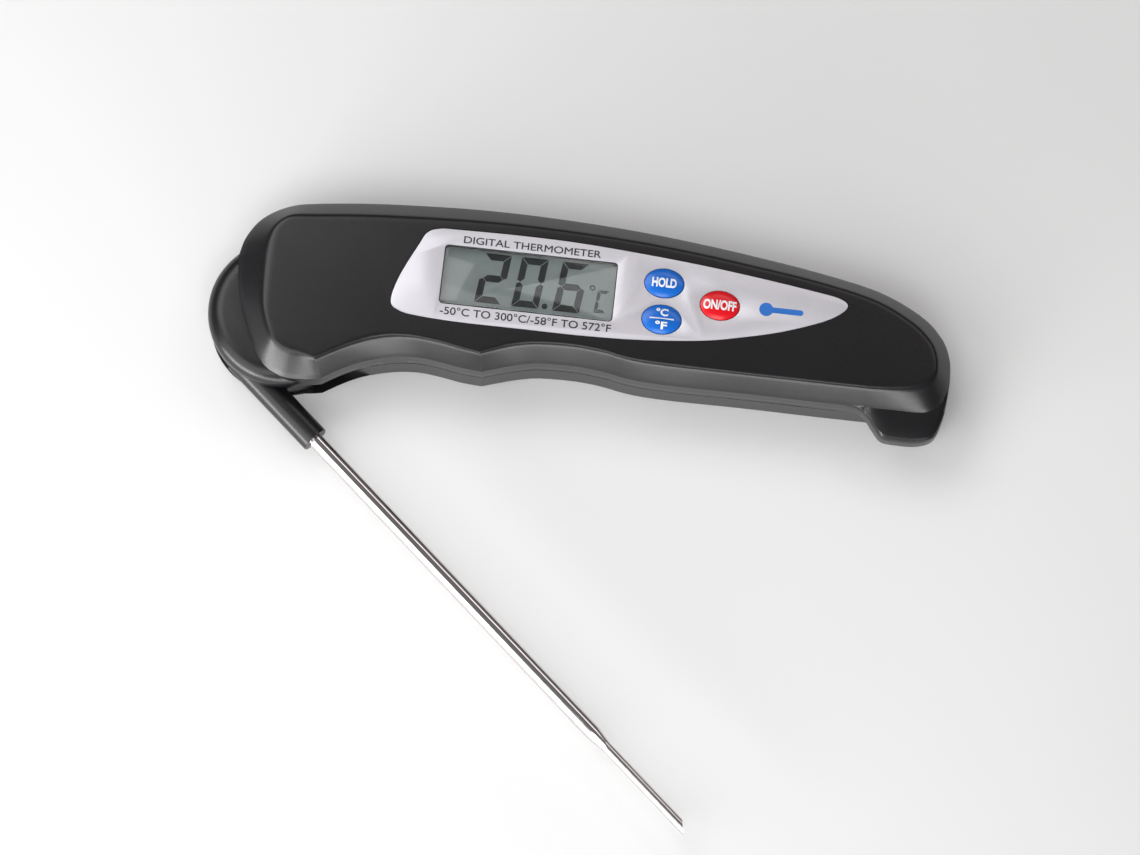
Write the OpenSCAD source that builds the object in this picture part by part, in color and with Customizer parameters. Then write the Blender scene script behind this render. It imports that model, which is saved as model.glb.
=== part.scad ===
// Folding-probe digital thermometer, as used for darkroom baths.
// Frame: the origin lies on the probe's pivot axis, on the flat back face.
// +X runs from the pivot to the toe, +Y to the arched edge, +Z out of the front face.

/* [Case] */
// Thickness of the case, from the back face to the front face
case_t = 20; // [19.6:0.1:20.6]
// Height of the plane where the two shells meet
split_z = 10; // [9.8:0.1:10.1]
// Depth of the sloping band round the front face
band_depth = 4.8; // [4.4:0.1:5.2]
// Radius of the round head
head_r = 16.4; // [16:0.1:16.4]
// Thickness of the wall behind the display
front_wall = 2; // [1.8:0.1:2.2]
// Thickness of the back wall
back_wall = 1.8; // [1.6:0.1:2]

/* [Display and buttons] */
// Width of the display window
window_w = 37; // [36:0.5:39]
// Height of the display window
window_h = 13; // [12:0.5:14]
// Half-length of an oval button
button_rx = 4.2; // [3.8:0.1:4.3]
// Half-width of an oval button
button_ry = 3.2; // [2.8:0.1:3.3]
// Height of a button's crown above the front face
button_rise = 0.7; // [0.5:0.1:0.9]
// Travel of a button
button_travel = 0.5; // [0.3:0.05:0.5]

/* [Probe] */
// Direction of the half-open probe from +X, in degrees
probe_dir = -40.7; // [-60:0.1:-30]
// Distance from the pivot axis to the probe's own axis
probe_offset = 13.4; // [13.2:0.1:13.4]
// Radius of the black sleeve
sleeve_r = 3.04; // [3:0.01:3.04]
// End of the sleeve along the probe
sleeve_end = 24.5; // [22:0.5:27]
// Radius of the steel tube
tube_r = 1.75; // [1.6:0.05:1.75]
// Radius of the thin end of the tube
tip_r = 1.15; // [1.05:0.05:1.2]
// Start of the neck between tube and thin end
neck_start = 111.5; // [105:0.5:112]
// Length of the neck
neck_len = 4; // [3:0.5:5]
// Far end of the probe
probe_end = 140; // [136:0.5:140]

/* [Battery] */
// Radius of the coin cell
cell_r = 10; // [9.8:0.1:10]
// Thickness of the coin cell
cell_t = 3.2; // [2.8:0.1:3.2]

/* [Hidden] */

$fn = 48;
eps = 0.01;
fit = 0.05;
step = 3;

// Outline of the case. Each station is [outer x, outer y, front x, front y]: the outer
// point is on the side wall, the front point is on the rim of the front face. Stations
// on the toe end with a third point, on the foot of the toe that hangs below the wall.
arch_and_toe = [
    [-11, 10.4, -4.6, 10.4], [-9.9, 14.9, -4.4, 13.8], [-6.8, 19.5, -3.4, 16.9],
    [-1.4, 22.8, -0.6, 19.3], [5.2, 24.2, 5.2, 20.1], [18, 25.6, 18, 21.4],
    [35, 26.6, 35, 22.4], [48, 26.8, 48, 22.7], [61, 26.5, 61, 22.5],
    [74, 25.8, 74, 21.9], [87, 24.6, 87, 20.8], [100, 23, 99.5, 19.3],
    [113.5, 21, 112.8, 17.5], [126.8, 18.2, 125.5, 14.8], [135.9, 14.1, 133.5, 11.1],
    [140.8, 9.9, 137.8, 7.7], [143.2, 5.4, 139.8, 4.4], [143.8, 0, 140.3, 0.6],
    [143.2, -3.6, 139.4, -1.5, 143.6, -5], [141.9, -6, 138.2, -2.5, 143, -8.8],
    [139.6, -7.5, 136.2, -3.4, 141.6, -12.4], [137, -7.9, 133.9, -4, 138.2, -14],
    [133.8, -7.9, 131.2, -4.4, 133.4, -14.2], [131.2, -7.9, 129.4, -4.6, 130.4, -13.8],
    [129, -7.9, 127.6, -4.7, 128.4, -11.6], [127, -7.9, 126, -4.8, 126.6, -9.4],
    [124, -7.9, 123.6, -4.8, 124, -8.1], [116, -7.9, 116, -4.8], [100, -7.8, 100, -4.8],
    [86, -7.9, 86, -4.7], [78.4, -7.7, 77.5, -4.5], [74, -7.2, 73, -4],
    [69.6, -6.4, 68.8, -3.2], [63.6, -5.9, 62, -2.7], [56.1, -6.1, 54.6, -3.1],
    [51.8, -6.9, 49.6, -4.1], [47.9, -8, 46.1, -5.4], [43.9, -9.3, 43.1, -6.7]];
grip = [
    [43.9, -9.3, 43.1, -6.7], [39.6, -9, 38.9, -6], [35.2, -8.3, 33.8, -5.1],
    [30.8, -7.8, 28.1, -4.6], [26.5, -8, 23.1, -5], [22.3, -8.8, 18.6, -6.3],
    [18.1, -10.1, 14.6, -8.2], [14, -12.1, 11.3, -10.1], [9.8, -14.7, 8.3, -11.8]];
head = [
    [9.8, -14.7, 8.3, -11.8], [6.2, -15.3, 5.6, -11], [2, -15.3, 2.6, -10.4],
    [-1.9, -13.6, 0.2, -9.3], [-4.8, -10.1, -1.6, -7.6], [-7.4, -5, -3.4, -3.6],
    [-9.2, 0, -4.2, 0], [-10.4, 5, -4.5, 5], [-11, 10.4, -4.6, 10.4]];

// A smooth curve through hand-placed points
function blend(a, b, c, d, t) =
    0.5 * (2 * b + (c - a) * t + (2 * a - 5 * b + 4 * c - d) * t * t
    + (3 * b - a - 3 * c + d) * t * t * t);
function smooth(run) = let (last = len(run) - 1)
    [for (i = [0:last - 1], j = [0:step - 1])
        blend(run[max(i - 1, 0)], run[i], run[i + 1], run[min(i + 2, last)], j / step)];
function smooth_closed(run) = let (n = len(run))
    [for (i = [0:n - 1], j = [0:step - 1])
        blend(run[(i + n - 1) % n], run[i], run[(i + 1) % n], run[(i + 2) % n], j / step)];

function full(run) = [for (p = run) len(p) == 6 ? p : [p[0], p[1], p[2], p[3], p[0], p[1]]];

stations = concat(smooth(full(arch_and_toe)), smooth(full(grip)), smooth(full(head)));
// Case outline moved in by a share t of the sloping band's width
function outline(t) = [for (p = stations) [p[0] + (p[2] - p[0]) * t, p[1] + (p[3] - p[1]) * t]];
// Outline with the toe, moved back towards the side wall by a share t
function toe_outline(t) = [for (p = stations)
    [p[4] + (p[0] - p[4]) * t, p[5] + (p[1] - p[5]) * t]];
function oval(rx, ry, n = 36) = [for (i = [0:n - 1]) [rx * cos(360 * i / n), ry * sin(360 * i / n)]];
function lift(ring, z) = [for (p = ring) [p[0], p[1], z]];
function backwards(ring) = [for (i = [len(ring) - 1:-1:0]) ring[i]];

// Heights
shoulder_z = case_t - band_depth;
inner_z = case_t - front_wall;
ledge_z = case_t - 1.2;
label_z = case_t - 0.4;
face_gap = 0.04;
board_z = 12.4;
board_t = 1.6;
board_top = board_z + board_t;
board_start = 28;
board_len = 93.5;
back_edge = 3.3;
back_inset = 0.6;
// Extra height that a loft is given before a flat face is cut across it
spare = 0.5;

// Head and pivot
flange_z = 3.2;
chamber_r = 16.8;
chamber_wall = 1.6;
deck_z = 12.5;
hub_z0 = 3.5;
hub_z1 = 9.7;
hub_r = 11.2;
lobe_r = 15.8;
lobe_start = -145;
lobe_end = -60.6;
folded_dir = 1.5;
upper_r = 5;
lower_r = 4;
bush_r = 5.2;
clip_z = 12.6;
clip_t = 0.8;
probe_z = (hub_z0 + hub_z1) / 2;
trunnion_z0 = 1.4;
trunnion_z1 = 13.6;
duct_r = 2.2;
cross_duct_r = 1.3;
lead_duct_r = 1.2;
tube_start = 6;
tube_wall = 0.4;
thin_wall = 0.3;
plug_len = 3;
point_len = 2.5;
point_edge = 0.15;
bead_r = 0.7;
bead_gap = 2.2;
lead_r = 0.25;
wire_r = 0.45;

// Room for the clip and for the seal round the upper trunnion
clip_room_r = 7.2;
clip_room_h = 2.3;
seal_room_r = 6.5;
seal_room_h = 1.5;
bush_z = 1.2;
bush_h = 2;
// Limits of the room the sleeve swings out through, in X and Y
sleeve_exit = [0.5, 16.9];

// Rear part of the toe: the plate and the end stop that guard the folded tip
guard_at = [131, -10.5];
guard_size = [10, 6];
stop_at = [141, -8.5];
stop_size = [1.4, 6];

// Wall thickness as a share of the sloping band's width
wall_share = 0.6;
ceiling_share = 1.08;

// Display, label and buttons
display_at = [51.7, 10.1];
hold_at = [80.6, 13.3];
unit_at = [80.8, 5.2];
power_at = [92.9, 9.7];
button_places = [hold_at, unit_at, power_at];
button_gap = 0.15;
switch_t = 1.2;
// Panel with its holder, and the conductive strips between the panel and the board
holder_size = [43, 20];
holder_room = [40.4, 17.4];
panel_size = [40, 17];
strip_size = [36, 1.6];
strip_h = 1.9;
strip_from_middle = 7;
// Board and the parts on it
board_share = 0.8;
board_holes = [[34, 3], [118, 3]];
board_hole_r = 1.1;
chip_r = 6;
chip_h = 1.2;
chip_part = [1.2, 2, 0.8];
crystal_r = 1.45;
crystal_len = 6;
switch_w = 4.5;
// Keys: flange, plunger and the rubber sheet above the flanges
key_flange = [0.7, 0.6];
key_flange_t = 0.8;
plunger_r = 1.4;
seal_at = [74.6, 0.4];
seal_size = [24.5, 17.6];
seal_t = 0.4;
window_gap = 0.3;
window_ledge = 0.4;
label_slack = [1.004, 1.018];
label_edge = [
    [24.1, 8.5], [27.5, 16.1], [29, 18.9], [31.6, 20], [35.7, 20.2], [48.7, 20.4],
    [61.6, 20.2], [74.7, 19.4], [87.8, 18.3], [101, 16.8], [114.1, 15], [118.6, 14.1],
    [120.2, 12.8], [118.9, 10.9], [114.9, 8.5], [106.6, 5.4], [98.2, 3.2], [89.7, 1.5],
    [76.9, 0.2], [64, -0.3], [51, -0.3], [38, -0.3], [29.3, 0.1], [25, 0.8],
    [22.9, 2.8]];
label_middle = [70, 10];

// Fastenings, battery and magnets
screw_places = [[24.5, 17], [24.5, -1], [132, 0.5], [127, 11.5]];
boss_r = 3;
screw_r = 1;
pilot_depth = 6.5;
screw_head_r = 2.1;
screw_head_t = 1.6;
counterbore_r = 2.3;
counterbore_depth = 5;
battery_at = [89, 8];
cover_r = 12;
cover_t = 1.8;
cover_z = 0.15;
cell_z = 2.2;
roof_z = 6.4;
leaf_t = 0.3;
tab_t = 0.4;
tab_w = 1.2;
slot_w = 1.8;
slot_depth = 1.1;
cover_seal_r = 11.1;
seal_ring_r = 0.42;
// The cover's lugs turn in a groove between these radii
lug_reach = 0.8;
groove_reach = 1.05;
magnet_places = [[42, 9], [66, 9]];
magnet_r = 5;

module plate(ring, z0, z1) {
    translate([0, 0, z0]) linear_extrude(z1 - z0) polygon(ring);
}

// Solid through level rings that run clockwise, seen from the front
module loft(rings) {
    n = len(rings[0]);
    top = (len(rings) - 1) * n;
    sides = [for (k = [0:len(rings) - 2], i = [0:n - 1]) let (
        a = k * n + i, b = k * n + (i + 1) % n) each [[a, b, b + n], [a, b + n, a + n]]];
    polyhedron([for (r = rings) each r], concat([[for (i = [n - 1:-1:0]) i]],
        sides, [[for (i = [0:n - 1]) top + i]]), convexity = 8);
}

// Block that covers the whole case between two heights
module slab(z0, z1) {
    translate([-30, -30, z0]) cube([190, 70, z1 - z0]);
}

// Block centred on the axis, between two heights
module block(size, z0, z1) {
    translate([-size[0] / 2, -size[1] / 2, z0]) cube([size[0], size[1], z1 - z0]);
}

module window_block(grow, z0, z1) {
    translate(display_at) block([window_w + grow, window_h + grow], z0, z1);
}

// Area inside the sealed part of the case; reach pushes its inner limits back
module dry_area(t, reach) {
    difference() {
        polygon(outline(t));
        circle(chamber_r + chamber_wall + reach);
        translate([-30, 0]) square([34 + reach, 40]);
        translate([-30, -30]) square([49.5 + reach, 25 + reach]);
    }
}

module screw_bosses(z0, z1) {
    for (p = screw_places)
        translate([p[0], p[1], z0]) cylinder(r = boss_r, h = z1 - z0);
}

module front_shell() {
    color([0.12, 0.12, 0.13]) difference() {
        union() {
            loft([lift(toe_outline(0), split_z - spare), lift(toe_outline(0), shoulder_z - 1.6),
                lift(toe_outline(0.15), shoulder_z - 0.5), lift(outline(0), shoulder_z),
                lift(outline(1 + 0.1 / band_depth), case_t + 0.1)]);
            rotate_extrude($fn = 96) polygon([[0, split_z - 0.5], [head_r, split_z - 0.5],
                [head_r, split_z + 1.4], [head_r - 0.6, split_z + 2.7],
                [head_r - 1.8, split_z + 3.8], [head_r - 3.6, split_z + 4.6], [0, split_z + 4.6]]);
        }
        slab(split_z - 1, split_z);
        slab(case_t, case_t + 1);
        difference() {
            union() {
                translate([0, 0, split_z - eps])
                    linear_extrude(deck_z - split_z + 2 * eps) dry_area(wall_share, 0);
                plate(outline(wall_share - 0.03), deck_z, deck_z + 1);
                difference() {
                    loft([lift(outline(wall_share), deck_z + 0.5),
                        lift(outline(wall_share), shoulder_z - 0.4),
                        lift(outline(ceiling_share + 0.06), inner_z + 0.3)]);
                    slab(inner_z, inner_z + 1);
                }
                translate([0, 0, deck_z]) cylinder(r = clip_room_r, h = clip_room_h);
            }
            screw_bosses(split_z, inner_z + eps);
        }
        for (p = screw_places)
            translate([p[0], p[1], split_z - eps]) cylinder(r = screw_r, h = pilot_depth);
        translate([0, 0, split_z - eps]) cylinder(r = upper_r + fit, h = deck_z - split_z + 2 * eps);
        translate([0, 0, split_z - eps]) cylinder(r = seal_room_r, h = seal_room_h);
        window_block(window_gap, ledge_z, case_t + eps);
        window_block(-2 * window_ledge, inner_z - eps, case_t);
        plate([for (p = smooth_closed(label_edge)) [for (k = [0, 1])
            label_middle[k] + (p[k] - label_middle[k]) * label_slack[k]]], label_z, case_t + eps);
        for (p = button_places)
            translate(p) plate(oval(button_rx + button_gap, button_ry + button_gap),
                inner_z - eps, case_t);
    }
}

module rear_shell() {
    color([0.14, 0.14, 0.15]) difference() {
        union() {
            loft([lift(outline(back_inset * (1 + spare / back_edge)), -spare),
                lift(outline(0), back_edge), lift(outline(0), split_z + spare)]);
            rotate_extrude($fn = 96) polygon([[0, -1], [head_r - 3.8, -1], [head_r - 0.2, 2.6],
                [head_r - 0.2, flange_z], [0, flange_z]]);
            // Plate and end stop that cover the tip of the folded probe
            translate([guard_at[0], guard_at[1], 1])
                cube([guard_size[0], guard_size[1], flange_z - 1]);
            translate([stop_at[0], stop_at[1], 1])
                cube([stop_size[0], stop_size[1], split_z - 1]);
        }
        slab(-2, 0);
        slab(split_z, split_z + 2);
        difference() {
            translate([0, 0, back_wall]) linear_extrude(split_z) dry_area(wall_share, 0);
            for (p = screw_places)
                translate([p[0], p[1], 0]) cylinder(r = boss_r + 0.2, h = split_z);
            translate(battery_at) cylinder(r = cover_r + 2.4, h = roof_z + 1.2);
            for (p = magnet_places)
                translate(p) cylinder(r = magnet_r + 1.4, h = flange_z);
        }
        // Chamber for the hub, and the ways out of it for the sleeve
        translate([0, 0, flange_z]) cylinder(r = chamber_r, h = split_z, $fn = 96);
        translate([-20, -20, flange_z])
            cube([20 + sleeve_exit[0], 20 + sleeve_exit[1], split_z]);
        rotate([0, 0, folded_dir])
            translate([-2, -25 - (probe_offset - sleeve_r - 0.4), flange_z]) cube([31, 25, split_z]);
        // Groove for the gasket
        translate([0, 0, split_z - 0.6]) linear_extrude(1) gasket_area(0.02);
        // Bore for the pivot bush
        translate([0, 0, bush_z]) cylinder(r = bush_r, h = 3);
        for (p = screw_places) translate([p[0], p[1], -eps]) {
            cylinder(r = screw_r + 0.25, h = split_z + 1);
            cylinder(r = counterbore_r, h = counterbore_depth + 2 * eps);
        }
        for (p = magnet_places)
            translate([p[0], p[1], -eps]) cylinder(r = magnet_r + fit, h = 1.9);
        translate([battery_at[0], battery_at[1], 0]) battery_space();
    }
}

// Room for the cell, its contacts and the bayonet cover
module battery_space() {
    translate([0, 0, -eps]) cylinder(r = cover_r + 0.15, h = 2.05 + eps);
    translate([0, 0, 1]) cylinder(r = cover_r + groove_reach, h = 1.05);
    for (a = [45, 225])
        rotate([0, 0, a - 13]) rotate_extrude(angle = 26)
            translate([cover_r - 1, -eps]) square([2, 1.2]);
    translate([0, 0, 2]) cylinder(r = cell_r + 0.25, h = roof_z - 2);
    translate([-cell_r - 1.4, -3, cell_z]) cube([3, 6, roof_z - cell_z]);
    translate([-cell_r - 1.2, -1, roof_z - eps]) cube([1, 2, 2]);
    translate([3.4, -1, roof_z - eps]) cube([1, 2, 2]);
}

module gasket_area(slack) {
    difference() {
        dry_area(0.22 - slack, -1.1 - slack);
        dry_area(0.38 + slack, -0.55 + slack);
    }
}

module case_gasket() {
    color([0.55, 0.16, 0.12]) translate([0, 0, split_z - 0.6]) linear_extrude(0.6) gasket_area(0);
}

module case_screws() {
    color([0.7, 0.7, 0.72]) for (p = screw_places) translate([p[0], p[1], 0]) difference() {
        union() {
            translate([0, 0, counterbore_depth - screw_head_t])
                cylinder(r = screw_head_r, h = screw_head_t);
            translate([0, 0, 3.5]) cylinder(r = screw_r, h = 12);
        }
        for (a = [0, 90]) rotate([0, 0, a])
            translate([-1.2, -0.25, 3.3]) cube([2.4, 0.5, 0.9]);
    }
}

module label_panel() {
    color([0.85, 0.85, 0.87]) difference() {
        plate(smooth_closed(label_edge), label_z, case_t - face_gap);
        window_block(window_gap, label_z - 1, case_t + 1);
        for (p = button_places)
            translate(p) plate(oval(button_rx + button_gap, button_ry + button_gap),
                label_z - 1, case_t + 1);
    }
}

module display_window() {
    color([0.75, 0.8, 0.8, 0.4]) window_block(0, ledge_z, case_t - face_gap);
}

module display_frame() {
    color([0.9, 0.9, 0.88]) translate(display_at) difference() {
        block(holder_size, board_top, inner_z - fit);
        block(holder_room, board_top - 1, inner_z + 1);
    }
}

module lcd_panel() {
    color([0.6, 0.66, 0.62]) translate(display_at)
        block(panel_size, board_top + strip_h, inner_z - 2 * fit);
}

module zebra_strips() {
    color([0.25, 0.25, 0.28]) for (side = [-1, 1])
        translate([display_at[0], display_at[1] + side * strip_from_middle])
            block(strip_size, board_top, board_top + strip_h);
}

module circuit_board() {
    color([0.1, 0.4, 0.2]) difference() {
        intersection() {
            plate(outline(board_share), board_z, board_top);
            translate([board_start, -20, board_z - 1]) cube([board_len, 60, 4]);
        }
        for (p = board_holes)
            translate([p[0], p[1], board_z - 1]) cylinder(r = board_hole_r, h = 4);
    }
}

module controller_chip() {
    color([0.05, 0.05, 0.05]) translate([display_at[0], display_at[1], board_z - chip_h])
        cylinder(r1 = 0.75 * chip_r, r2 = chip_r, h = chip_h);
}

module board_components() {
    color([0.7, 0.6, 0.4]) {
        for (i = [0:3]) translate([64 + 3 * i, 2, board_z - chip_part[2]]) cube(chip_part);
        for (i = [0:2]) translate([36 + 3 * i, 15, board_z - chip_part[2]]) cube(chip_part);
        translate([66, 16, board_z - crystal_r - fit])
            rotate([0, 90, 0]) cylinder(r = crystal_r, h = crystal_len);
    }
}

module tact_switches() {
    color([0.6, 0.6, 0.62]) for (p = button_places) translate([p[0], p[1], board_top]) {
        block([switch_w, switch_w], 0, switch_t - 0.3);
        cylinder(r = plunger_r - 0.1, h = switch_t);
    }
}

module button_seal() {
    color([0.2, 0.2, 0.2]) difference() {
        translate([seal_at[0], seal_at[1], inner_z - seal_t])
            cube([seal_size[0], seal_size[1], seal_t]);
        for (p = button_places)
            translate(p) plate(oval(button_rx + button_gap, button_ry + button_gap),
                inner_z - 2, inner_z + 1);
    }
}

// Oval key: domed cap, retaining flange under the wall, and plunger to the switch
module key(place) {
    flange_top = inner_z - seal_t;
    crown = [[1, -0.6], [0.985, -0.35], [0.93, -0.18], [0.8, -0.07], [0.55, 0]];
    translate(place) {
        plate(oval(button_rx, button_ry), flange_top - eps, case_t + button_rise + crown[0][1]);
        loft([for (c = crown) lift(backwards(oval(button_rx * c[0], button_ry * c[0])),
            case_t + button_rise + c[1])]);
        plate(oval(button_rx + key_flange[0], button_ry + key_flange[1]),
            flange_top - key_flange_t, flange_top);
        translate([0, 0, board_top + switch_t + button_travel + fit])
            cylinder(r = plunger_r, h = flange_top - board_top - switch_t - button_travel - 0.5);
    }
}

module hold_button() { color([0.1, 0.4, 0.8]) key(hold_at); }
module unit_button() { color([0.1, 0.4, 0.8]) key(unit_at); }
module power_button() { color([0.85, 0.08, 0.12]) key(power_at); }

module coin_cell() {
    color([0.75, 0.75, 0.76]) translate([battery_at[0], battery_at[1], cell_z]) {
        cylinder(r = cell_r, h = cell_t - 0.4);
        cylinder(r = cell_r - 1.2, h = cell_t);
    }
}

module negative_contact() {
    color([0.8, 0.7, 0.4]) translate([battery_at[0], battery_at[1], 0]) {
        translate([-4, -1.5, roof_z - leaf_t]) cube([8.4, 3, leaf_t]);
        translate([0, 0, cell_z + cell_t]) cylinder(r = 1.2, h = roof_z - cell_z - cell_t - 0.2);
        translate([3.7, -tab_w / 2, roof_z - leaf_t])
            cube([tab_t, tab_w, board_z - roof_z + leaf_t]);
    }
}

module positive_contact() {
    color([0.8, 0.7, 0.4]) translate([battery_at[0] - cell_r - 0.8, battery_at[1], 0]) {
        translate([0, -2.5, cell_z + 0.2]) cube([tab_t, 5, 3.8]);
        translate([0, -tab_w / 2, cell_z + 3]) cube([tab_t, tab_w, board_z - cell_z - 3]);
        translate([0, -1, cell_z + 1]) cube([0.8 - fit, 2, 1.2]);
    }
}

module battery_cover() {
    color([0.14, 0.14, 0.15]) translate([battery_at[0], battery_at[1], cover_z]) difference() {
        union() {
            cylinder(r = cover_r, h = cover_t);
            for (a = [0, 180]) rotate([0, 0, a - 10]) rotate_extrude(angle = 20)
                translate([cover_r - 1, 0.95]) square([1 + lug_reach, 0.8]);
        }
        translate([-7, -slot_w / 2, -eps]) cube([14, slot_w, slot_depth]);
        translate([0, 0, cover_t - 0.8]) difference() {
            cylinder(r = cover_seal_r + 0.5, h = 1);
            translate([0, 0, -1]) cylinder(r = cover_seal_r - 0.5, h = 3);
        }
    }
}

module cover_seal() {
    color([0.55, 0.16, 0.12]) translate([battery_at[0], battery_at[1], 1.6])
        rotate_extrude() translate([cover_seal_r, 0]) circle(r = seal_ring_r, $fn = 24);
}

module back_magnets() {
    color([0.6, 0.6, 0.63]) for (p = magnet_places)
        translate([p[0], p[1], 0.3]) cylinder(r = magnet_r, h = 1.55);
}

module pivot_bush() {
    color([0.85, 0.82, 0.7]) translate([0, 0, bush_z]) difference() {
        cylinder(r = bush_r, h = bush_h);
        translate([0, 0, -eps]) cylinder(r = lower_r + fit, h = 3);
    }
}

module friction_washer() {
    color([0.75, 0.75, 0.76]) translate([0, 0, flange_z + 0.02]) difference() {
        cylinder(r = 8, h = 0.25);
        translate([0, 0, -1]) cylinder(r = lower_r + 0.3, h = 3);
    }
}

module pivot_seal() {
    color([0.2, 0.2, 0.2]) translate([0, 0, split_z + 0.75])
        rotate_extrude() translate([5.76, 0]) circle(r = 0.7, $fn = 24);
}

// Wire of eight sides through a list of points
module wire(points, r) {
    last = len(points) - 1;
    aside = [0.2, 1, 0.3];
    loft([for (i = [0:last]) let (
        along = points[min(i + 1, last)] - points[max(i - 1, 0)],
        a = cross(along, aside) / norm(cross(along, aside)),
        b = cross(along / norm(along), a))
        [for (k = [0:7]) points[i] + r * (cos(45 * k) * a - sin(45 * k) * b)]]);
}

module board_leads() {
    color([0.8, 0.1, 0.1]) for (side = [-1, 1])
        wire([[0.8, side * 0.8, 14.2], [2, side, 15.6], [8, 2 + side, 16],
            [18, 4 + side, 16], [25, 6 + side, 15.6], [29, 7 + side, board_top + 0.5]], wire_r);
}

// Places its children on the probe's own axis, with +Z along the probe
module along_probe(distance) {
    rotate([0, 0, probe_dir]) translate([distance, -probe_offset, probe_z])
        rotate([0, 90, 0]) children();
}

module probe_arm() {
    color([0.1, 0.1, 0.1]) difference() {
        union() {
            translate([0, 0, hub_z0]) cylinder(r = hub_r, h = hub_z1 - hub_z0, $fn = 96);
            rotate([0, 0, lobe_start]) rotate_extrude(angle = lobe_end - lobe_start, $fn = 96)
                translate([2, hub_z0]) square([lobe_r - 2, hub_z1 - hub_z0]);
            along_probe(0) cylinder(r = sleeve_r, h = sleeve_end);
            translate([0, 0, trunnion_z0]) cylinder(r = lower_r, h = 3);
            translate([0, 0, hub_z1 - 1]) cylinder(r = upper_r, h = trunnion_z1 - hub_z1 + 1);
        }
        // Groove for the clip
        translate([0, 0, clip_z - fit]) difference() {
            cylinder(r = upper_r + 1, h = clip_t + 2 * fit);
            translate([0, 0, -1]) cylinder(r = upper_r - 0.8, h = 3);
        }
        // Way for the wires: down the hollow trunnion, out to the sleeve and along it
        translate([0, 0, probe_z - 1.5]) cylinder(r = duct_r, h = 11.5);
        rotate([0, 0, probe_dir]) translate([0, 1, probe_z]) rotate([90, 0, 0])
            cylinder(r = cross_duct_r, h = probe_offset + 2.35);
        along_probe(0) cylinder(r = lead_duct_r, h = tube_start + 2);
        along_probe(tube_start) cylinder(r = tube_r, h = sleeve_end);
    }
}

module pivot_clip() {
    color([0.75, 0.75, 0.76]) translate([0, 0, clip_z]) difference() {
        cylinder(r = 6, h = clip_t);
        translate([0, 0, -1]) cylinder(r = upper_r - 0.8 + fit, h = 3);
        translate([0, -1.5, -1]) cube([8, 3, 3]);
    }
}

module probe_tube() {
    bore_r = tube_r - tube_wall;
    thin_bore_r = tip_r - thin_wall;
    neck_end = neck_start + neck_len;
    tube_end = probe_end - plug_len;
    color([0.8, 0.8, 0.82]) along_probe(0) rotate_extrude() polygon([
        [bore_r, tube_start], [tube_r, tube_start], [tube_r, neck_start], [tip_r, neck_end],
        [tip_r, tube_end], [thin_bore_r, tube_end], [thin_bore_r, neck_end],
        [bore_r, neck_start]]);
}

// Solid plug welded into the end of the tube and ground to a slanted point
module probe_point() {
    across = 2 * tip_r - point_edge;
    color([0.78, 0.78, 0.8]) along_probe(probe_end - plug_len) difference() {
        cylinder(r = tip_r, h = plug_len);
        // The slanted face runs from the inner side of the tube to an edge on the outer side
        rotate([90, 0, 90]) linear_extrude(4 * tip_r, center = true) polygon([
            [tip_r + across, plug_len - 2 * point_len], [tip_r + across, plug_len + point_len],
            [-tip_r - across + point_edge, plug_len + point_len]]);
    }
}

module thermistor() {
    color([0.1, 0.1, 0.1]) along_probe(probe_end - plug_len - bead_gap) {
        sphere(r = bead_r, $fn = 24);
        translate([0, 0, -2]) cylinder(r = 0.5, h = 2);
    }
}

module sensor_wires() {
    color([0.8, 0.1, 0.1]) rotate([0, 0, probe_dir]) for (side = [-1, 1])
        wire([[0.5 * side, 0, 13], [0.5 * side, 0, probe_z], [0.5 * side, -probe_offset, probe_z],
            [2, -probe_offset - 0.35 * side, probe_z],
            [probe_end - 7.6, -probe_offset - 0.35 * side, probe_z]], lead_r);
}

front_shell();
rear_shell();
case_gasket();
case_screws();
label_panel();
display_window();
display_frame();
lcd_panel();
zebra_strips();
circuit_board();
controller_chip();
board_components();
tact_switches();
button_seal();
hold_button();
unit_button();
power_button();
coin_cell();
negative_contact();
positive_contact();
battery_cover();
cover_seal();
back_magnets();
pivot_bush();
friction_washer();
pivot_seal();
board_leads();
probe_arm();
pivot_clip();
probe_tube();
probe_point();
thermistor();
sensor_wires();
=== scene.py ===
"""Looks of the folding probe thermometer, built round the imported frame.

Lengths are in millimetres, and mesh_object() turns them into metres.
"""
import math

import bmesh
import bpy
from mathutils import Matrix, Vector


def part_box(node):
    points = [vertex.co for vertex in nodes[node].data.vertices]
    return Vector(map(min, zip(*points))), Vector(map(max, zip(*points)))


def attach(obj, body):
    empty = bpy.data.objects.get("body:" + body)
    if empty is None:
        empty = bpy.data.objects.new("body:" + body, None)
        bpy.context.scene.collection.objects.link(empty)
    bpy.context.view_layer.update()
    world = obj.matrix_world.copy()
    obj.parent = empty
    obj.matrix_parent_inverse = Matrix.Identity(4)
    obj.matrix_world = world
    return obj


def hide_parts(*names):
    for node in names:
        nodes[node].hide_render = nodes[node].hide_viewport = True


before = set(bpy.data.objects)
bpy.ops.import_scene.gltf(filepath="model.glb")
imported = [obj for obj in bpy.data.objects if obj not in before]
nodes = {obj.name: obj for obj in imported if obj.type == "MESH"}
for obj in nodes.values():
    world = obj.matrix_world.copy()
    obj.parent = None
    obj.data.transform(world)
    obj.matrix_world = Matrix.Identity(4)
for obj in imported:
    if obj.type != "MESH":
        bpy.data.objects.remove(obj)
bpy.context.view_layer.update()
MM = 0.001

# Heights of the case
CASE_T = 20.0
SPLIT_Z = 10.0
DECK_Z = 12.5
CAVITY_SHOULDER_Z = 14.8
INNER_Z = 18.0
LEDGE_Z = 18.8
LABEL_Z = 19.6
LABEL_TOP = 19.96
GLASS_TOP = 19.96
ABOVE_CASE = CASE_T + 1
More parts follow.
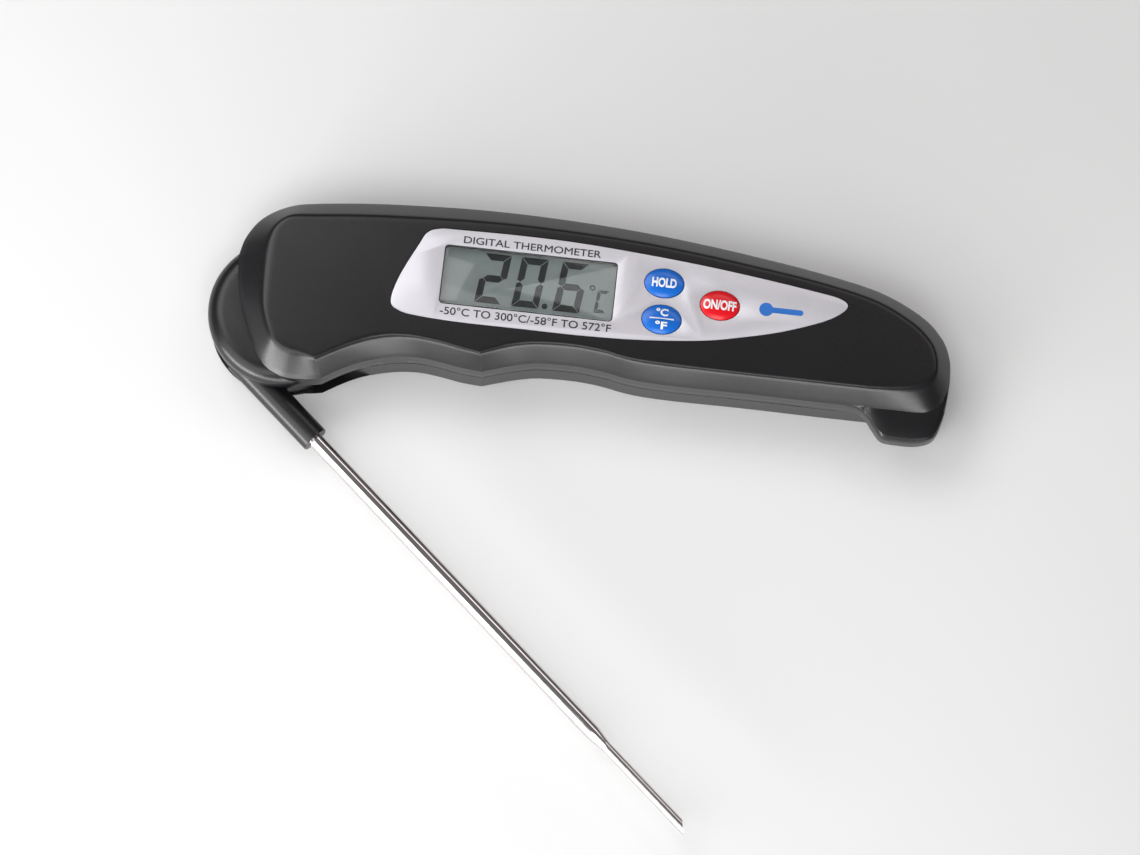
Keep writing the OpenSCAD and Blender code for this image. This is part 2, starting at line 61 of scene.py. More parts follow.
# The crowns of the keys are lower than the CAD ones by the thickness of their print
CROWN_Z = 20.62
LCD_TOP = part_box("lcd_panel")[1][2] / MM

# Inside of the front shell: shares of the sloping band's width, and the clip's room
WALL_SHARE = 0.6
CEILING_SHARE = 1.08
CLIP_ROOM_R = 7.2
# The opening for the label is larger than the label by these shares
LABEL_SLACK = (1.004, 1.018)

# Places on the front face
DISPLAY_AT = (51.7, 10.1)
GLASS = (37.0, 13.0)
GLASS_CORNER = 0.9
HOLD_AT = (80.6, 13.3)
UNIT_AT = (80.8, 5.2)
POWER_AT = (92.9, 9.7)
KEY_R = (4.2, 3.2)
KEY_GAP = 0.15
WINDOW_GAP = 0.3

# Hidden part of a key: flange, heights of the flange, plunger and start of the plunger
KEY_FLANGE = (0.7, 0.6)
KEY_FLANGE_Z = (16.8, 17.6)
PLUNGER_R = 1.4
PLUNGER_Z = 15.75

# Pivot, hub and probe. PROBE_OFFSET is how far the probe's axis passes the pivot's.
HEAD_R = 16.4
HEAD_ROUND = (3.6, 3.2)
HEAD_WALL_Z = 11.4
HUB = (3.5, 9.7)
HUB_R = 11.2
LOBE_R = 15.8
LOBE = (-145.0, -60.6)
PROBE_DIR = math.radians(-40.7)
PROBE_OFFSET = 13.4
PROBE_Z = 6.6
SLEEVE_R = 3.04
SLEEVE_END = 24.5
TUBE_R = 1.75
TUBE_START = 6
LOWER_R = 4
UPPER_R = 5
TRUNNION_Z = (1.4, 13.6)
CLIP_GROOVE_R = 4.2
CLIP_GROOVE_Z = (12.55, 13.45)
DUCT_R = 2.2
DUCT_START_Z = 5.1
FIT = 0.05

# Stations of the case outline: outer point, point on the rim of the front face and,
# on the toe, the foot that hangs below the wall. The same points shape the CAD case.
ARCH_AND_TOE = [
    (-11, 10.4, -4.6, 10.4), (-9.9, 14.9, -4.4, 13.8), (-6.8, 19.5, -3.4, 16.9),
    (-1.4, 22.8, -0.6, 19.3), (5.2, 24.2, 5.2, 20.1), (18, 25.6, 18, 21.4),
    (35, 26.6, 35, 22.4), (48, 26.8, 48, 22.7), (61, 26.5, 61, 22.5),
    (74, 25.8, 74, 21.9), (87, 24.6, 87, 20.8), (100, 23, 99.5, 19.3),
    (113.5, 21, 112.8, 17.5), (126.8, 18.2, 125.5, 14.8), (135.9, 14.1, 133.5, 11.1),
    (140.8, 9.9, 137.8, 7.7), (143.2, 5.4, 139.8, 4.4), (143.8, 0, 140.3, 0.6),
    (143.2, -3.6, 139.4, -1.5, 143.6, -5), (141.9, -6, 138.2, -2.5, 143, -8.8),
    (139.6, -7.5, 136.2, -3.4, 141.6, -12.4), (137, -7.9, 133.9, -4, 138.2, -14),
    (133.8, -7.9, 131.2, -4.4, 133.4, -14.2), (131.2, -7.9, 129.4, -4.6, 130.4, -13.8),
    (129, -7.9, 127.6, -4.7, 128.4, -11.6), (127, -7.9, 126, -4.8, 126.6, -9.4),
    (124, -7.9, 123.6, -4.8, 124, -8.1), (116, -7.9, 116, -4.8), (100, -7.8, 100, -4.8),
    (86, -7.9, 86, -4.7), (78.4, -7.7, 77.5, -4.5), (74, -7.2, 73, -4),
    (69.6, -6.4, 68.8, -3.2), (63.6, -5.9, 62, -2.7), (56.1, -6.1, 54.6, -3.1),
    (51.8, -6.9, 49.6, -4.1), (47.9, -8, 46.1, -5.4), (43.9, -9.3, 43.1, -6.7)]
GRIP = [
    (43.9, -9.3, 43.1, -6.7), (39.6, -9, 38.9, -6), (35.2, -8.3, 33.8, -5.1),
    (30.8, -7.8, 28.1, -4.6), (26.5, -8, 23.1, -5), (22.3, -8.8, 18.6, -6.3),
    (18.1, -10.1, 14.6, -8.2), (14, -12.1, 11.3, -10.1), (9.8, -14.7, 8.3, -11.8)]
HEAD = [
    (9.8, -14.7, 8.3, -11.8), (6.2, -15.3, 5.6, -11), (2, -15.3, 2.6, -10.4),
    (-1.9, -13.6, 0.2, -9.3), (-4.8, -10.1, -1.6, -7.6), (-7.4, -5, -3.4, -3.6),
    (-9.2, 0, -4.2, 0), (-10.4, 5, -4.5, 5), (-11, 10.4, -4.6, 10.4)]
LABEL_EDGE = [
    (24.1, 8.5), (27.5, 16.1), (29, 18.9), (31.6, 20), (35.7, 20.2), (48.7, 20.4),
    (61.6, 20.2), (74.7, 19.4), (87.8, 18.3), (101, 16.8), (114.1, 15), (118.6, 14.1),
    (120.2, 12.8), (118.9, 10.9), (114.9, 8.5), (106.6, 5.4), (98.2, 3.2), (89.7, 1.5),
    (76.9, 0.2), (64, -0.3), (51, -0.3), (38, -0.3), (29.3, 0.1), (25, 0.8),
    (22.9, 2.8)]
LABEL_MIDDLE = (70, 10)
SMOOTH_STEPS = 8


# ---------------------------------------------------------------- curves

def blend(a, b, c, d, t):
    """Catmull-Rom point between b and c."""
    return tuple(
        0.5 * (2 * q + (r - p) * t + (2 * p - 5 * q + 4 * r - s) * t * t
               + (3 * q - p - 3 * r + s) * t ** 3)
        for p, q, r, s in zip(a, b, c, d))


def smooth(run):
    """Smooth open run, without its last point."""
    last = len(run) - 1
    return [blend(run[max(i - 1, 0)], run[i], run[i + 1], run[min(i + 2, last)],
                  j / SMOOTH_STEPS)
            for i in range(last) for j in range(SMOOTH_STEPS)]


def smooth_closed(run):
    n = len(run)
    return [blend(run[i - 1], run[i], run[(i + 1) % n], run[(i + 2) % n], j / SMOOTH_STEPS)
            for i in range(n) for j in range(SMOOTH_STEPS)]


def with_foot(run):
    """Gives each station a foot, which is its outer point if it has none of its own."""
    return [p if len(p) == 6 else p + (p[0], p[1]) for p in run]


STATIONS = [p for run in (ARCH_AND_TOE, GRIP, HEAD) for p in smooth(with_foot(run))]


def case_ring(foot, band, z):
    """Ring of the case at height z: foot 0 is the toe's foot and 1 the side wall, and
    band runs from 0 at the side wall to 1 at the rim of the front face."""
    ring = []
    for ox, oy, fx, fy, tx, ty in STATIONS:
        ring.append((tx + (ox - tx) * foot + (fx - ox) * band,
                     ty + (oy - ty) * foot + (fy - oy) * band, z))
    return ring


def oval(at, rx, ry, z, n=72):
    return [(at[0] + rx * math.cos(2 * math.pi * i / n),
             at[1] + ry * math.sin(2 * math.pi * i / n), z) for i in range(n)]


# ---------------------------------------------------------------- meshes

def mesh_object(name, points, faces):
    mesh = bpy.data.meshes.new(name)
    mesh.from_pydata([(x * MM, y * MM, z * MM) for x, y, z in points], [], faces)
    bm = bmesh.new()
    bm.from_mesh(mesh)
    bmesh.ops.recalc_face_normals(bm, faces=bm.faces)
    bm.to_mesh(mesh)
    bm.free()
    obj = bpy.data.objects.new(name, mesh)
    bpy.context.scene.collection.objects.link(obj)
    return obj


def loft(name, rings):
    """Closed solid through rings of equal length."""
    n = len(rings[0])
    faces = [(k * n + i, k * n + (i + 1) % n, (k + 1) * n + (i + 1) % n, (k + 1) * n + i)
             for k in range(len(rings) - 1) for i in range(n)]
    faces.append(tuple(range(n - 1, -1, -1)))
    faces.append(tuple((len(rings) - 1) * n + i for i in range(n)))
    return mesh_object(name, [p for ring in rings for p in ring], faces)


def lathe(name, profile, n=96):
    """Solid turned about Z from a profile of (radius, z), closed by flat ends."""
    return loft(name, [oval((0, 0), r, r, z, n) for r, z in profile])


def prism(name, outline, z0, z1):
    return loft(name, [[(x, y, z0) for x, y in outline], [(x, y, z1) for x, y in outline]])


def block(name, x0, y0, z0, x1, y1, z1):
    return prism(name, [(x0, y0), (x1, y0), (x1, y1), (x0, y1)], z0, z1)


def along_probe(obj):
    """Turns and moves a piece that was made along +Z onto the probe's axis."""
    place = (Matrix.Rotation(PROBE_DIR, 4, "Z")
             @ Matrix.Translation((0, -PROBE_OFFSET * MM, PROBE_Z * MM))
             @ Matrix.Rotation(math.pi / 2, 4, "Y"))
    obj.data.transform(place)
    return obj


def apply_modifiers(obj):
    graph = bpy.context.evaluated_depsgraph_get()
    graph.update()
    mesh = bpy.data.meshes.new_from_object(obj.evaluated_get(graph))
    obj.modifiers.clear()
    obj.data = mesh
    return obj


def combine(obj, tools, operation="DIFFERENCE"):
    for tool in tools:
        change = obj.modifiers.new("combine", "BOOLEAN")
        change.operation = operation
        change.solver = "EXACT"
        change.object = tool
        apply_modifiers(obj)
        bpy.data.objects.remove(tool)
    return obj


def round_edges(obj, width, segments=3, angle=35.0):
    change = obj.modifiers.new("rounding", "BEVEL")
    change.width = width * MM
    change.segments = segments
    change.limit_method = "ANGLE"
    change.angle_limit = math.radians(angle)
    change.use_clamp_overlap = True
    return apply_modifiers(obj)


def shade(obj, angle=32.0):
    obj.data.shade_smooth()
    obj.data.set_sharp_from_angle(angle=math.radians(angle))
    return obj


def finish_piece(obj, body, material, replaces=(), angle=32.0):
    shade(obj, angle)
    obj.data.materials.clear()
    obj.data.materials.append(material)
    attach(obj, body)
    if replaces:
        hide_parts(*replaces)
    return obj


# ---------------------------------------------------------------- materials

def material(name, color, roughness, metallic=0.0, grain=0.2, bump=0.1, tint=0.15,
             rough_spread=0.08, stretch=(1, 1, 1), **sockets):
    """Principled surface with uneven colour, uneven gloss and a fine grain.

    grain is the size of the grain in millimetres, bump its strength, tint the share by
    which the colour varies and rough_spread the range of the roughness."""
    made = bpy.data.materials.new(name)
    made.use_nodes = True
    tree = made.node_tree
    shader = tree.nodes["Principled BSDF"]
    shader.inputs["Metallic"].default_value = metallic
    for socket, value in sockets.items():
        shader.inputs[socket.replace("_", " ")].default_value = value
    place = tree.nodes.new("ShaderNodeTexCoord")
    mapping = tree.nodes.new("ShaderNodeMapping")
    mapping.inputs["Scale"].default_value = stretch
    tree.links.new(place.outputs["Object"], mapping.inputs["Vector"])

    def noise(size_mm, detail):
        node = tree.nodes.new("ShaderNodeTexNoise")
        node.inputs["Scale"].default_value = 1.0 / (size_mm * MM)
        node.inputs["Detail"].default_value = detail
        tree.links.new(mapping.outputs["Vector"], node.inputs["Vector"])
        return node

    broad = noise(grain * 60, 3.0)
    fine = noise(grain, 4.0)
    ramp = tree.nodes.new("ShaderNodeValToRGB")
    ramp.color_ramp.elements[0].position = 0.3
    ramp.color_ramp.elements[1].position = 0.7
    ramp.color_ramp.elements[0].color = [c * (1 - tint) for c in color[:3]] + [1]
    ramp.color_ramp.elements[1].color = [min(c * (1 + tint), 1) for c in color[:3]] + [1]
    tree.links.new(broad.outputs["Fac"], ramp.inputs["Fac"])
    tree.links.new(ramp.outputs["Color"], shader.inputs["Base Color"])
    spread = tree.nodes.new("ShaderNodeMapRange")
    spread.inputs["To Min"].default_value = max(roughness - rough_spread, 0.02)
    spread.inputs["To Max"].default_value = roughness + rough_spread
    tree.links.new(fine.outputs["Fac"], spread.inputs["Value"])
    tree.links.new(spread.outputs["Result"], shader.inputs["Roughness"])
    relief = tree.nodes.new("ShaderNodeBump")
    relief.inputs["Strength"].default_value = bump
    relief.inputs["Distance"].default_value = 0.00005
    tree.links.new(fine.outputs["Fac"], relief.inputs["Height"])
    tree.links.new(relief.outputs["Normal"], shader.inputs["Normal"])
    return made


case_black = material("case_black", (0.0062, 0.0055, 0.0068), 0.3, grain=0.22, bump=0.14)
arm_black = material("arm_black", (0.01, 0.0092, 0.0098), 0.3, grain=0.2, bump=0.18)
label_film = material("label_film", (0.66, 0.645, 0.69), 0.34, metallic=0.25, grain=0.1,
                      bump=0.05, tint=0.03)
ink_black = material("ink_black", (0.012, 0.012, 0.014), 0.4, grain=0.08, bump=0.05)
ink_blue = material("ink_blue", (0.02, 0.16, 0.56), 0.4, grain=0.08, bump=0.05)
ink_white = material("ink_white", (0.86, 0.87, 0.9), 0.4, grain=0.08, bump=0.05, tint=0.03)
key_blue = material("key_blue", (0.006, 0.14, 0.6), 0.24, grain=0.3, bump=0.05, tint=0.08)
key_red = material("key_red", (0.72, 0.004, 0.012), 0.24, grain=0.3, bump=0.05, tint=0.08)
lcd_face = material("lcd_face", (0.34, 0.375, 0.38), 0.42, grain=0.05, bump=0.03, tint=0.05)
lcd_ink = material("lcd_ink", (0.012, 0.016, 0.016), 0.5, grain=0.05, bump=0.03)
steel = material("steel", (0.72, 0.69, 0.69), 0.12, metallic=1.0, grain=0.09, bump=0.04,
                 tint=0.04, rough_spread=0.05)
spring_steel = material("spring_steel", (0.6, 0.6, 0.62), 0.3, metallic=1.0)
screw_steel = material("screw_steel", (0.58, 0.58, 0.6), 0.3, metallic=1.0, grain=0.15)
magnet_nickel = material("magnet_nickel", (0.66, 0.64, 0.6), 0.2, metallic=1.0, grain=0.3)
rubber = material("rubber", (0.03, 0.03, 0.032), 0.75, grain=0.15, bump=0.3)
seal_red = material("seal_red", (0.36, 0.04, 0.02), 0.6, grain=0.15, bump=0.2)
brass = material("brass", (0.72, 0.52, 0.24), 0.28, metallic=1.0)
board_green = material("board_green", (0.01, 0.13, 0.04), 0.35, grain=0.25)
part_tan = material("part_tan", (0.42, 0.3, 0.16), 0.45, grain=0.1)
nylon = material("nylon", (0.66, 0.62, 0.48), 0.45, grain=0.2)
holder_white = material("holder_white", (0.7, 0.7, 0.66), 0.45, grain=0.2)
wire_red = material("wire_red", (0.42, 0.012, 0.012), 0.5, grain=0.1)
glass = material("glass", (0.94, 0.97, 0.96), 0.04, grain=0.5, bump=0.0, tint=0.01,
                 rough_spread=0.01, Transmission_Weight=1.0, IOR=1.46)

CAD_LOOKS = {
    "rear_shell": case_black, "case_gasket": seal_red, "case_screws": screw_steel,
    "display_frame": holder_white, "lcd_panel": lcd_face, "zebra_strips": rubber,
    "circuit_board": board_green, "controller_chip": ink_black,
    "board_components": part_tan, "tact_switches": spring_steel, "button_seal": rubber,
    "coin_cell": spring_steel, "negative_contact": brass, "positive_contact": brass,
    "battery_cover": arm_black, "cover_seal": seal_red, "back_magnets": magnet_nickel,
    "pivot_bush": nylon, "friction_washer": screw_steel, "pivot_seal": rubber,
    "board_leads": wire_red, "pivot_clip": screw_steel, "thermistor": ink_black,
    "sensor_wires": wire_red, "probe_point": steel}

for name, look in CAD_LOOKS.items():
    node = nodes[name]
    node.data.materials.clear()
    node.data.materials.append(look)


# ---------------------------------------------------------------- case

def front_case():
    """Front shell with its sloping band, its toe and its round head."""
    # (foot, band, height) of each ring, from the joint of the shells to the front face
    rise = [(0, 0.04, SPLIT_Z), (0, 0, 10.25), (0, 0, 12.6), (0, 0, 13.4), (0.03, 0, 14.0),
            (0.12, 0, 14.5), (0.4, 0, 14.9), (0.8, 0, 15.1), (1, 0.03, 15.25),
            (1, 0.1, 15.65), (1, 0.2, 16.16), (1, 0.5, 17.6), (1, 0.8, 19.04),
            (1, 0.9, 19.48), (1, 0.98, 19.77), (1, 1.07, 19.93), (1, 1.18, 19.985),
            (1, 1.3, CASE_T)]
    shell = loft("case_front", [case_ring(*r) for r in rise])
    rim = [(HEAD_R - HEAD_ROUND[0] + HEAD_ROUND[0] * math.sin(a),
            HEAD_WALL_Z + HEAD_ROUND[1] * math.cos(a))
           for a in [math.radians(90 - 9 * i) for i in range(11)]]
    head = lathe("head", [(HEAD_R - 0.15, SPLIT_Z), (HEAD_R, 10.25)] + rim)
    combine(shell, [head], "UNION")
    label_hole = [(LABEL_MIDDLE[0] + (x - LABEL_MIDDLE[0]) * LABEL_SLACK[0],
                   LABEL_MIDDLE[1] + (y - LABEL_MIDDLE[1]) * LABEL_SLACK[1])
                  for x, y in smooth_closed(LABEL_EDGE)]
    tools = [loft("cavity", [case_ring(1, WALL_SHARE, DECK_Z),
                             case_ring(1, WALL_SHARE, CAVITY_SHOULDER_Z),
                             case_ring(1, CEILING_SHARE, INNER_Z)]),
             lathe("bore", [(UPPER_R + FIT, SPLIT_Z - 1), (UPPER_R + FIT, DECK_Z + 0.1)]),
             lathe("clip_room", [(CLIP_ROOM_R, DECK_Z - 0.1),
                                 (CLIP_ROOM_R, CAVITY_SHOULDER_Z)]),
             prism("label_hole", label_hole, LABEL_Z, ABOVE_CASE),
             glass_block("glass_hole", WINDOW_GAP, LEDGE_Z, ABOVE_CASE),
             glass_block("view_hole", -WINDOW_GAP, INNER_Z - 1, LEDGE_Z + 0.2)]
    combine(shell, tools + key_holes(INNER_Z - 1))
    return finish_piece(shell, "handle", case_black, ["front_shell"], 28)


def key_holes(z0):
    """Cutters for the openings round the three keys."""
    return [loft("key_hole", [oval(at, KEY_R[0] + KEY_GAP, KEY_R[1] + KEY_GAP, z)
                              for z in (z0, ABOVE_CASE)])
            for at in (HOLD_AT, UNIT_AT, POWER_AT)]


def glass_block(name, grow, z0, z1):
    """Block with the rounded outline of the display window."""
    hx = (GLASS[0] + grow) / 2 - GLASS_CORNER
    hy = (GLASS[1] + grow) / 2 - GLASS_CORNER
    outline = [(DISPLAY_AT[0] + sx * hx + GLASS_CORNER * math.cos(math.radians(first + a)),
                DISPLAY_AT[1] + sy * hy + GLASS_CORNER * math.sin(math.radians(first + a)))
               for sx, sy, first in ((1, 1, 0), (-1, 1, 90), (-1, -1, 180), (1, -1, 270))
               for a in range(0, 91, 15)]
    return prism(name, outline, z0, z1)


def label():
    plate = prism("face_label", smooth_closed(LABEL_EDGE), LABEL_Z, LABEL_TOP)
    combine(plate, [glass_block("glass_hole", WINDOW_GAP, LABEL_Z - 1, ABOVE_CASE)]
            + key_holes(LABEL_Z - 1))
    round_edges(plate, 0.08, 2)
    return finish_piece(plate, "handle", label_film, ["label_panel"])


def window():
    pane = glass_block("display_glass", 0, LEDGE_Z, GLASS_TOP)
    round_edges(pane, 0.25, 3)
    return finish_piece(pane, "handle", glass, ["display_window"])


def crown_height(share):
    """Height of a key's dome at a share of the way from its middle to its edge."""
    return CROWN_Z - 0.54 * share ** 3.4


def key(name, at, look, body, node):
    """Key with its domed cap, the flange under the wall and the plunger."""
    crown = [oval(at, KEY_R[0] * s, KEY_R[1] * s, crown_height(s))
             for s in (1, 0.985, 0.96, 0.92, 0.86, 0.78, 0.66, 0.5, 0.3, 0.1)]
    flange = [oval(at, KEY_R[0] + KEY_FLANGE[0], KEY_R[1] + KEY_FLANGE[1], z)
              for z in KEY_FLANGE_Z]
    cap = loft(name, flange + [oval(at, *KEY_R, KEY_FLANGE_Z[1] + 0.01),
                               oval(at, *KEY_R, CASE_T - 0.1)] + crown)
    stem = loft("stem", [oval(at, PLUNGER_R, PLUNGER_R, z, 32)
                         for z in (PLUNGER_Z, KEY_FLANGE_Z[0] + 0.2)])
    combine(cap, [stem], "UNION")
    return finish_piece(cap, body, look, [node], 50)


# ---------------------------------------------------------------- print

# A surface is a function that gives the height at which print lies over (x, y)

def on_label(x, y):
    return LABEL_TOP + 0.005


def on_lcd(x, y):
    return LCD_TOP + 0.045


def on_key(at):
    """Height of a key's crown over a point of the front face."""
    def height(x, y):
        return crown_height(math.hypot((x - at[0]) / KEY_R[0], (y - at[1]) / KEY_R[1])) + 0.02
    return height


def words(name, text, at, width, height, look, body, surface, weight=0.009):
    """Printed line, centred at a place, brought to its width and height and laid on a
    surface. weight thickens its strokes."""
    curve = bpy.data.curves.new(name, "FONT")
    curve.body = text
    curve.extrude = 0.02
    curve.bevel_depth = weight
    curve.bevel_resolution = 0
    flat = bpy.data.objects.new(name + "_curve", curve)
    bpy.context.scene.collection.objects.link(flat)
    graph = bpy.context.evaluated_depsgraph_get()
    graph.update()
    mesh = bpy.data.meshes.new_from_object(flat.evaluated_get(graph))
    bpy.data.objects.remove(flat)
    xs = [v.co.x for v in mesh.vertices]
    ys = [v.co.y for v in mesh.vertices]
    sx, sy = width / (max(xs) - min(xs)), height / (max(ys) - min(ys))
    middle = ((max(xs) + min(xs)) / 2, (max(ys) + min(ys)) / 2)
    for v in mesh.vertices:
        x = at[0] + (v.co.x - middle[0]) * sx
        y = at[1] + (v.co.y - middle[1]) * sy
        v.co = Vector((x, y, surface(x, y) + v.co.z)) * MM
    obj = bpy.data.objects.new(name, mesh)
    bpy.context.scene.collection.objects.link(obj)
    return finish_piece(obj, body, look)


def mark(name, outline, look, body, surface, depth=0.04):
    """Flat printed mark from its outline, laid on a surface."""
    n = len(outline)
    points = [(x, y, surface(x, y) + dz) for dz in (-depth, 0.02) for x, y in outline]
    faces = [tuple(range(n - 1, -1, -1)), tuple(range(n, 2 * n))]
    faces += [(i, (i + 1) % n, n + (i + 1) % n, n + i) for i in range(n)]
    return finish_piece(mesh_object(name, points, faces), body, look)


def bar(x0, x1, y, thick, steps=10):
    """Outline of a long thin bar, with points along it so that it can follow a dome."""
    xs = [x0 + (x1 - x0) * i / steps for i in range(steps + 1)]
    return [(x, y - thick / 2) for x in xs] + [(x, y + thick / 2) for x in reversed(xs)]


def stem_and_bulb(at, length, bulb, stem):
    """Outline of a small lying thermometer sign: a bulb with a rounded stem."""
    start = math.asin(stem / bulb)
    turn = 2 * math.pi - 2 * start
    left = at[0] - length / 2 + bulb
    points = [(left + bulb * math.cos(start + turn * i / 28),
               at[1] + bulb * math.sin(start + turn * i / 28)) for i in range(29)]
    right = at[0] + length / 2 - stem
    points += [(right + stem * math.cos(a), at[1] + stem * math.sin(a))
               for a in [math.radians(-90 + 15 * i) for i in range(13)]]
    return points


SEGMENTS = {"0": "abcdef", "2": "abged", "6": "acdefg", "C": "adef"}


def digit(name, shape, at, size, thick, gap, slant=0.11):
    """Seven-segment figure with mitred segments. at is its lower left corner."""
    w, h = size
    middle = h / 2
    top = [(gap, h), (w - gap, h), (w - thick - gap, h - thick), (thick + gap, h - thick)]
    left = [(0, h - gap), (thick, h - thick - gap), (thick, middle + thick / 2 + gap / 2),
            (thick / 2, middle + gap / 2), (0, middle + thick / 4 + gap / 2)]
    across = [(thick / 2 + gap, middle), (thick + gap, middle + thick / 2),
              (w - thick - gap, middle + thick / 2), (w - thick / 2 - gap, middle),
              (w - thick - gap, middle - thick / 2), (thick + gap, middle - thick / 2)]
    shapes = {"a": top, "d": [(x, h - y) for x, y in top], "g": across, "f": left,
              "e": [(x, h - y) for x, y in left], "b": [(w - x, y) for x, y in left],
              "c": [(w - x, h - y) for x, y in left]}
    points, faces = [], []
    for segment in SEGMENTS[shape]:
        outline = shapes[segment]
        n, first = len(outline), len(points)
        for level in (LCD_TOP + 0.01, LCD_TOP + 0.06):
            points += [(at[0] + x + slant * y, at[1] + y, level) for x, y in outline]
        faces.append(tuple(first + i for i in range(n - 1, -1, -1)))
        faces.append(tuple(first + n + i for i in range(n)))
        faces += [(first + i, first + (i + 1) % n, first + n + (i + 1) % n, first + n + i)
                  for i in range(n)]
    return finish_piece(mesh_object(name, points, faces), "handle", lcd_ink)


# ---------------------------------------------------------------- probe

def arm():
    """Hub with its lobe, its trunnions and the sleeve that holds the tube."""
    z0, z1 = HUB
    hub = lathe("probe_holder", [(HUB_R - 0.3, z0), (HUB_R, z0 + 0.3), (HUB_R, z1 - 0.3),
                                 (HUB_R - 0.3, z1)])
    steps = 28
    turns = [math.radians(LOBE[0] + (LOBE[1] - LOBE[0]) * i / steps) for i in range(steps + 1)]
    fan = [(0.0, 0.0)] + [(LOBE_R * math.cos(a), LOBE_R * math.sin(a)) for a in turns]
    lobe = round_edges(prism("lobe", fan, z0, z1), 0.3)
    sleeve = along_probe(loft("sleeve", [
        oval((0, 0), SLEEVE_R * s, SLEEVE_R * s, d)
        for s, d in ((1, 0), (1, SLEEVE_END - 0.25), (0.985, SLEEVE_END - 0.08),
                     (0.95, SLEEVE_END))]))
    lower = lathe("lower", [(LOWER_R, TRUNNION_Z[0]), (LOWER_R, z0 + 1)])
    upper = lathe("upper", [(UPPER_R, z1 - 1), (UPPER_R, TRUNNION_Z[1])])
    combine(hub, [lobe, sleeve, lower, upper], "UNION")
    tube_way = along_probe(loft("way", [oval((0, 0), TUBE_R, TUBE_R, d)
                                        for d in (TUBE_START, SLEEVE_END + 1)]))
    groove = combine(lathe("groove", [(UPPER_R + 1, z) for z in CLIP_GROOVE_Z]),
                     [lathe("core", [(CLIP_GROOVE_R, 12), (CLIP_GROOVE_R, 14)])])
    combine(hub, [tube_way, groove,
                  lathe("lead_way", [(DUCT_R, DUCT_START_Z), (DUCT_R, 14)])])
    return finish_piece(hub, "probe", arm_black, ["probe_arm"], 30)


def tube():
    """Tube with its neck, from pairs of radius and distance along the probe."""
    outer = [(TUBE_R, TUBE_START), (TUBE_R, 111.2), (1.72, 111.7), (1.62, 112.5),
             (1.28, 114.8), (1.18, 115.3), (1.15, 115.9), (1.15, 137)]
    piece = along_probe(loft("steel_tube", [oval((0, 0), r, r, d, 64) for r, d in outer]))
    return finish_piece(piece, "probe", steel, ["probe_tube"], 30)


# ---------------------------------------------------------------- build

front_case()
label()
window()
key("key_hold", HOLD_AT, key_blue, "hold_key", "hold_button")
key("key_unit", UNIT_AT, key_blue, "unit_key", "unit_button")
key("key_power", POWER_AT, key_red, "power_key", "power_button")
arm()
tube()

words("print_heading", "DIGITAL THERMOMETER", (51.7, 18.15), 29.6, 1.6, ink_black,
      "handle", on_label)
words("print_range", "-50°C TO 300°C/-58°F TO 572°F", (51.9, 1.97), 36.7, 1.8, ink_black,
      "handle", on_label)
mark("print_sign", stem_and_bulb((106.1, 10.0), 9.5, 1.5, 0.62), ink_blue, "handle",
     on_label, 0.01)
words("legend_hold", "HOLD", HOLD_AT, 5.3, 2.1, ink_white, "hold_key",
      on_key(HOLD_AT), 0.04)
for word, up in (("C", 1.5), ("F", -1.4)):
    words("legend_degree_" + word, "°" + word, (UNIT_AT[0], UNIT_AT[1] + up), 2.6, 1.75,
          ink_white, "unit_key", on_key(UNIT_AT), 0.035)
mark("legend_line", bar(UNIT_AT[0] - 2.6, UNIT_AT[0] + 2.6, UNIT_AT[1] + 0.05, 0.26),
     ink_white, "unit_key", on_key(UNIT_AT))
words("legend_power", "ON/OFF", POWER_AT, 7.1, 2.2, ink_white, "power_key",
      on_key(POWER_AT), 0.04)

for shape, left in (("2", 40.55), ("0", 48.5), ("6", 57.26)):
    digit("lcd_digit_" + shape, shape, (left, 5.15), (5.75, 10.9), 1.45, 0.11)
digit("lcd_unit", "C", (66.0, 5.67), (2.6, 5.0), 0.72, 0.09)
mark("lcd_point", [(x, y) for x, y, z in oval((55.6, 5.85), 0.62, 0.62, 0, 24)], lcd_ink,
     "handle", on_lcd, 0.03)
words("lcd_degree", "°", (65.3, 11.0), 1.25, 1.25, lcd_ink, "handle", on_lcd)


# ---------------------------------------------------------------- studio

floor = block("floor", -1500, -1500, -4, 1500, 1500, -0.02)
floor.data.materials.append(material("floor_white", (0.87, 0.87, 0.87), 0.6, grain=2.0,
                                     bump=0.0, tint=0.01))


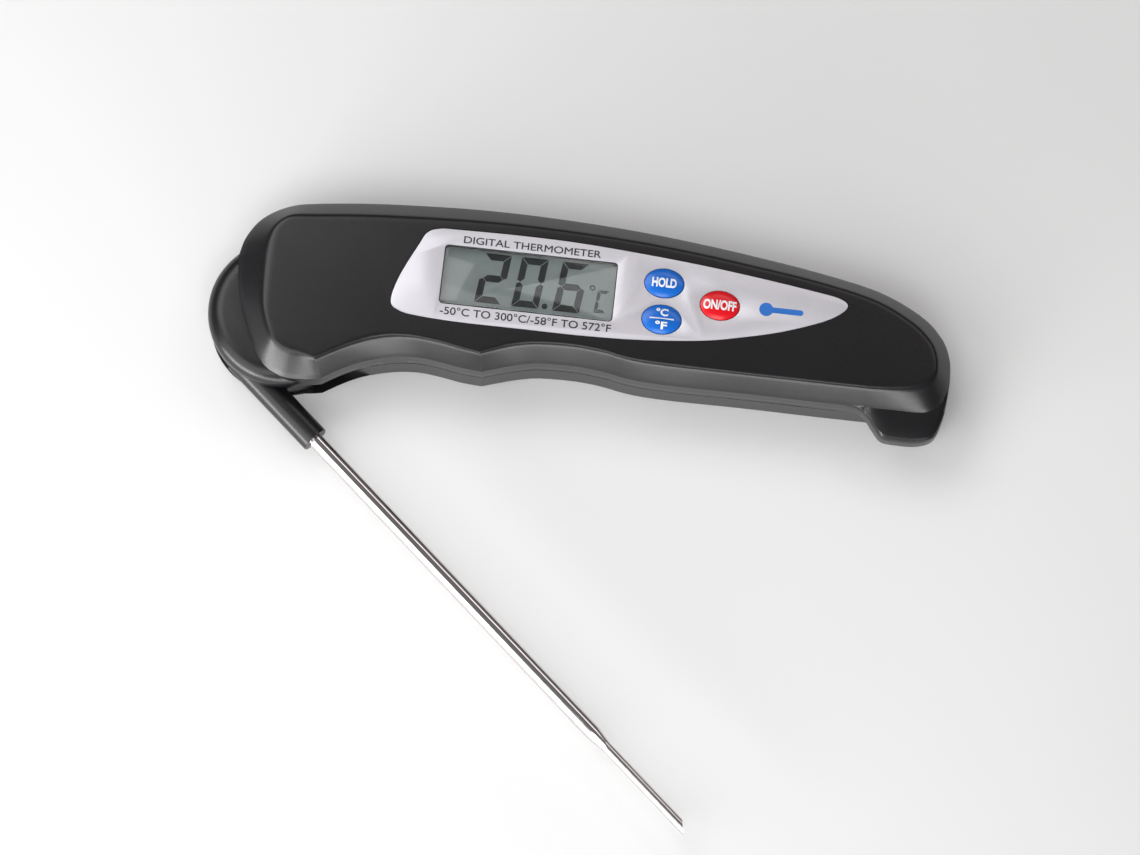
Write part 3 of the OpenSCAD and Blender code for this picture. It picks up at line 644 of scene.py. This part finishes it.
def softbox(name, at, target, width, height, power, color=(1, 1, 1)):
    light = bpy.data.lights.new(name, "AREA")
    light.shape = "RECTANGLE"
    light.size = width * MM
    light.size_y = height * MM
    light.energy = power
    light.color = color
    obj = bpy.data.objects.new(name, light)
    obj.location = Vector(at) * MM
    obj.rotation_euler = (Vector(target) - Vector(at)).to_track_quat("-Z", "Y").to_euler()
    bpy.context.scene.collection.objects.link(obj)


# name, place, aim, width, height, power in watts and, for the last, colour
softbox("over", (-290, 250, 600), (20, 0, 0), 520, 400, 1.7)
softbox("high_front", (60, -360, 640), (60, -20, 0), 320, 300, 1.2)
softbox("front_strip", (60, -620, 78), (60, 0, 10), 900, 150, 3.3)
softbox("left_strip", (-400, -420, 78), (0, 0, 10), 420, 150, 2.6)
softbox("low_left", (-312, -338, 387), (60, -60, 7), 560, 420, 1.7)
softbox("far_right", (231, 295, 460), (60, -60, 7), 500, 130, 0.34, (1, 0.92, 0.9))

world = bpy.data.worlds.new("studio")
world.use_nodes = True
world.node_tree.nodes["Background"].inputs["Color"].default_value = (1, 1, 1, 1)
world.node_tree.nodes["Background"].inputs["Strength"].default_value = 0.17
bpy.context.scene.world = world
bpy.context.scene.view_settings.view_transform = "Standard"


# ---------------------------------------------------------------- camera
# Looks at the front face from 15 degrees below square-on, and is rolled so that the
# handle slopes down to the right.
VIEW_TILT = math.radians(15.0)
VIEW_ROLL = math.radians(6.3)
VIEW_DISTANCE = 810.0
VIEW_WIDTH = 241.8
VIEW_AIM = Vector((63.9, -20.5, 19.0))
SENSOR_WIDTH = 36.0

camera = bpy.data.objects.new("camera", bpy.data.cameras.new("camera"))
camera.data.sensor_width = SENSOR_WIDTH
camera.data.lens = SENSOR_WIDTH * VIEW_DISTANCE / VIEW_WIDTH
back = Vector((0, -math.sin(VIEW_TILT), math.cos(VIEW_TILT)))
right = Vector((1, 0, 0))
up = back.cross(right)
turn = Matrix.Rotation(VIEW_ROLL, 3, back)
basis = Matrix((turn @ right, turn @ up, back)).transposed()
camera.matrix_world = (Matrix.Translation((VIEW_AIM + back * VIEW_DISTANCE) * MM)
                       @ basis.to_4x4())
bpy.context.scene.collection.objects.link(camera)
bpy.context.scene.camera = camera
